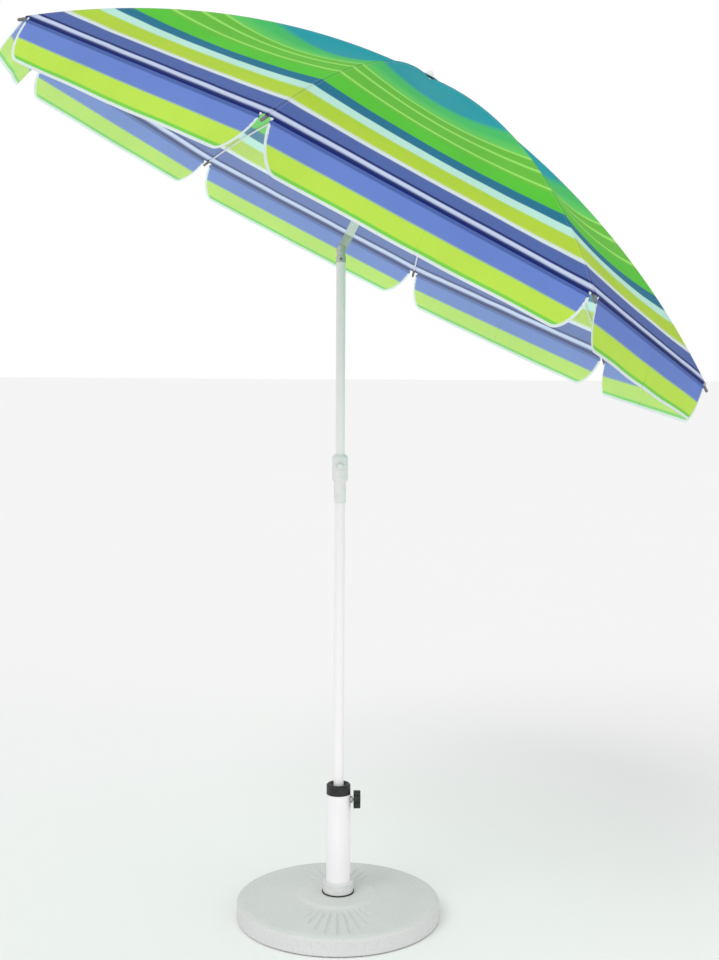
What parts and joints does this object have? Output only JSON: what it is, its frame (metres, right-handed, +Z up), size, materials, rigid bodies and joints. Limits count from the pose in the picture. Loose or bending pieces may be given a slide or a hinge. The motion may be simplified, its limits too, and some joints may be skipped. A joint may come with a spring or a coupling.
{
  "type": "beach umbrella",
  "caption": "Tilting beach umbrella with a striped, scalloped canopy on folding ribs, a telescoping pole and a round weighted base.",
  "frame": {"origin": "middle of the base's underside, on the pole's axis, on the ground", "axes": "+Z up along the pole; +X is the side the canopy leans to; +Y away from the height collar's screw"},
  "size_m": [1.623, 1.7766, 2.1462],
  "materials": {
    "cast_base": "smooth matt",
    "dark_rubber": "matt",
    "galvanised": "satin",
    "white_enamel": "satin enamel",
    "white_plastic": "satin",
    "pale_plastic": "matt",
    "black_plastic": "satin",
    "grey_metal": "satin",
    "spring_steel": "bright",
    "grey_plastic": "matt",
    "striped_cloth": "woven polyester, printed stripes"
  },
  "bodies": {
    "base": {"base_disc": "cast_base", "foot_ring": "dark_rubber", "sleeve_plate": "galvanised", "sleeve_bolts": "galvanised", "base_sleeve": "white_enamel", "foot_gasket": "dark_rubber", "socket_collar": "pale_plastic", "screw_nut": "galvanised"},
    "sleeve_screw_stem": {"sleeve_screw": "galvanised"},
    "sleeve_screw_knob": {"sleeve_knob": "black_plastic"},
    "reducer": {"reducer_collar": "black_plastic"},
    "outer_pole": {"lower_pole": "white_enamel", "pole_spike": "black_plastic", "height_collar": "white_plastic"},
    "height_screw_stem": {"height_screw": "galvanised"},
    "height_screw_wing": {"height_wing": "white_plastic"},
    "inner_pole": {"mid_pole": "white_enamel", "tilt_fork": "grey_metal", "tilt_pin": "grey_metal", "tilt_spring": "spring_steel"},
    "button": {"tilt_button": "grey_plastic"},
    "stem": {"tilt_tongue": "grey_metal", "upper_pole": "white_enamel", "crown": "white_plastic", "crown_ring": "spring_steel", "crown_cap": "white_plastic", "finial": "white_plastic", "canopy_panels": "striped_cloth", "valance_flaps": "striped_cloth"},
    "runner_hub": {"runner": "white_plastic", "runner_ring": "spring_steel", "catch_pin": "spring_steel"},
    "catch": {"catch_lever": "white_plastic"},
    "rib_1": {"rib_1": "white_enamel", "rib_tip_1": "grey_plastic"},
    "strut_1": {"stretcher_1": "white_enamel"},
    "rib_2": {"rib_2": "white_enamel", "rib_tip_2": "grey_plastic"},
    "strut_2": {"stretcher_2": "white_enamel"},
    "rib_3": {"rib_3": "white_enamel", "rib_tip_3": "grey_plastic"},
    "strut_3": {"stretcher_3": "white_enamel"},
    "rib_4": {"rib_4": "white_enamel", "rib_tip_4": "grey_plastic"},
    "strut_4": {"stretcher_4": "white_enamel"},
    "rib_5": {"rib_5": "white_enamel", "rib_tip_5": "grey_plastic"},
    "strut_5": {"stretcher_5": "white_enamel"},
    "rib_6": {"rib_6": "white_enamel", "rib_tip_6": "grey_plastic"},
    "strut_6": {"stretcher_6": "white_enamel"},
    "rib_7": {"rib_7": "white_enamel", "rib_tip_7": "grey_plastic"},
    "strut_7": {"stretcher_7": "white_enamel"},
    "rib_8": {"rib_8": "white_enamel", "rib_tip_8": "grey_plastic"},
    "strut_8": {"stretcher_8": "white_enamel"}
  },
  "joints": [
    {"name": "pole_turn", "type": "hinge", "parent": "base", "child": "reducer", "pos_m": [0, 0, 0.311], "axis": [0, 0, 1], "continuous": true},
    {"name": "pole_lift", "type": "slide", "parent": "reducer", "child": "outer_pole", "axis": [0, 0, 1], "range_m": [0, 0.27]},
    {"name": "sleeve_screw_advance", "type": "slide", "parent": "base", "child": "sleeve_screw_stem", "axis": [1, 0, 0], "range_m": [0, 0.0025]},
    {"name": "sleeve_screw_turn", "type": "hinge", "parent": "sleeve_screw_stem", "child": "sleeve_screw_knob", "pos_m": [0.04, 0, 0.296], "axis": [1, 0, 0], "range_deg": [-1, 721]},
    {"name": "pole_height", "type": "slide", "parent": "outer_pole", "child": "inner_pole", "axis": [0, 0, 1], "range_m": [-0.4, 0.28]},
    {"name": "height_screw_advance", "type": "slide", "parent": "outer_pole", "child": "height_screw_stem", "axis": [0, -1, 0], "range_m": [0, 0.002]},
    {"name": "height_screw_turn", "type": "hinge", "parent": "height_screw_stem", "child": "height_screw_wing", "pos_m": [0, -0.03, 1.12], "axis": [0, -1, 0], "range_deg": [-1, 721]},
    {"name": "canopy_tilt", "type": "hinge", "parent": "inner_pole", "child": "stem", "pos_m": [0, 0, 1.632], "axis": [0, 1, 0], "range_deg": [-26.7, 13.3]},
    {"name": "tilt_button_press", "type": "slide", "parent": "inner_pole", "child": "button", "axis": [0, 1, 0], "range_m": [0, 0.003], "stiffness_N_per_m": 600, "deforming": ["tilt_spring"]},
    {"name": "runner_slide", "type": "slide", "parent": "stem", "child": "runner_hub", "axis": [-0.4493, 0, -0.8934], "range_m": [0, 0.31853], "deforming": ["canopy_panels", "valance_flaps"]},
    {"name": "catch_press", "type": "hinge", "parent": "runner_hub", "child": "catch", "pos_m": [0.17511, -0.01897, 1.97291], "axis": [0.8805, 0.1693, -0.4428], "range_deg": [-8, 0], "stiffness_Nm_per_rad": 0.3},
    {"name": "rib_fold_1", "type": "hinge", "parent": "stem", "child": "rib_1", "pos_m": [0.18228, -0.01121, 2.03396], "axis": [0.4767, -0.8457, -0.2398], "range_deg": [-0.5, 66.5]},
    {"name": "strut_fold_1", "type": "hinge", "parent": "rib_1", "child": "strut_1", "pos_m": [0.01214, -0.1184, 2.07377], "axis": [0.4767, -0.8457, -0.2398], "range_deg": [-133, 1]},
    {"name": "rib_fold_2", "type": "hinge", "parent": "stem", "child": "rib_2", "pos_m": [0.19401, -0.02048, 2.02806], "axis": [0.8713, -0.2207, -0.4382], "range_deg": [-0.5, 66.5]},
    {"name": "strut_fold_2", "type": "hinge", "parent": "rib_2", "child": "strut_2", "pos_m": [0.13603, -0.21641, 2.01146], "axis": [0.8713, -0.2207, -0.4382], "range_deg": [-133, 1]},
    {"name": "rib_fold_3", "type": "hinge", "parent": "stem", "child": "rib_3", "pos_m": [0.20816, -0.01776, 2.02094], "axis": [0.7555, 0.5336, -0.38], "range_deg": [-0.5, 66.5]},
    {"name": "strut_fold_3", "type": "hinge", "parent": "rib_3", "child": "strut_3", "pos_m": [0.28556, -0.18765, 1.93626], "axis": [0.7555, 0.5336, -0.38], "range_deg": [-133, 1]},
    {"name": "rib_fold_4", "type": "hinge", "parent": "stem", "child": "rib_4", "pos_m": [0.21645, -0.00463, 2.01677], "axis": [0.1972, 0.9753, -0.0992], "range_deg": [-0.5, 66.5]},
    {"name": "strut_fold_4", "type": "hinge", "parent": "rib_4", "child": "strut_4", "pos_m": [0.37312, -0.04897, 1.89222], "axis": [0.1972, 0.9753, -0.0992], "range_deg": [-133, 1]},
    {"name": "rib_fold_5", "type": "hinge", "parent": "stem", "child": "rib_5", "pos_m": [0.21402, 0.01121, 2.018], "axis": [-0.4767, 0.8457, 0.2398], "range_deg": [-0.5, 66.5]},
    {"name": "strut_fold_5", "type": "hinge", "parent": "rib_5", "child": "strut_5", "pos_m": [0.34743, 0.1184, 1.90514], "axis": [-0.4767, 0.8457, 0.2398], "range_deg": [-133, 1]},
    {"name": "rib_fold_6", "type": "hinge", "parent": "stem", "child": "rib_6", "pos_m": [0.20229, 0.02048, 2.02389], "axis": [-0.8713, 0.2207, 0.4382], "range_deg": [-0.5, 66.5]},
    {"name": "strut_fold_6", "type": "hinge", "parent": "rib_6", "child": "strut_6", "pos_m": [0.22353, 0.21641, 1.96745], "axis": [-0.8713, 0.2207, 0.4382], "range_deg": [-133, 1]},
    {"name": "rib_fold_7", "type": "hinge", "parent": "stem", "child": "rib_7", "pos_m": [0.18814, 0.01776, 2.03101], "axis": [-0.7555, -0.5336, 0.38], "range_deg": [-0.5, 66.5]},
    {"name": "strut_fold_7", "type": "hinge", "parent": "rib_7", "child": "strut_7", "pos_m": [0.07401, 0.18765, 2.04266], "axis": [-0.7555, -0.5336, 0.38], "range_deg": [-133, 1]},
    {"name": "rib_fold_8", "type": "hinge", "parent": "stem", "child": "rib_8", "pos_m": [0.17985, 0.00463, 2.03518], "axis": [-0.1972, -0.9753, 0.0992], "range_deg": [-0.5, 66.5]},
    {"name": "strut_fold_8", "type": "hinge", "parent": "rib_8", "child": "strut_8", "pos_m": [-0.01355, 0.04897, 2.08669], "axis": [-0.1972, -0.9753, 0.0992], "range_deg": [-133, 1]}
  ],
  "couplings": [
    {"joint": "sleeve_screw_turn", "follows": "sleeve_screw_advance", "rad_per_m": 5026.5},
    {"joint": "height_screw_turn", "follows": "height_screw_advance", "rad_per_m": 6283.2},
    {"joint": "rib_fold_1", "follows": "runner_slide", "rad_per_m": 3.6164},
    {"joint": "strut_fold_1", "follows": "runner_slide", "rad_per_m": -7.2328},
    {"joint": "rib_fold_2", "follows": "runner_slide", "rad_per_m": 3.6164},
    {"joint": "strut_fold_2", "follows": "runner_slide", "rad_per_m": -7.2328},
    {"joint": "rib_fold_3", "follows": "runner_slide", "rad_per_m": 3.6164},
    {"joint": "strut_fold_3", "follows": "runner_slide", "rad_per_m": -7.2328},
    {"joint": "rib_fold_4", "follows": "runner_slide", "rad_per_m": 3.6164},
    {"joint": "strut_fold_4", "follows": "runner_slide", "rad_per_m": -7.2328},
    {"joint": "rib_fold_5", "follows": "runner_slide", "rad_per_m": 3.6164},
    {"joint": "strut_fold_5", "follows": "runner_slide", "rad_per_m": -7.2328},
    {"joint": "rib_fold_6", "follows": "runner_slide", "rad_per_m": 3.6164},
    {"joint": "strut_fold_6", "follows": "runner_slide", "rad_per_m": -7.2328},
    {"joint": "rib_fold_7", "follows": "runner_slide", "rad_per_m": 3.6164},
    {"joint": "strut_fold_7", "follows": "runner_slide", "rad_per_m": -7.2328},
    {"joint": "rib_fold_8", "follows": "runner_slide", "rad_per_m": 3.6164},
    {"joint": "strut_fold_8", "follows": "runner_slide", "rad_per_m": -7.2328}
  ]
}
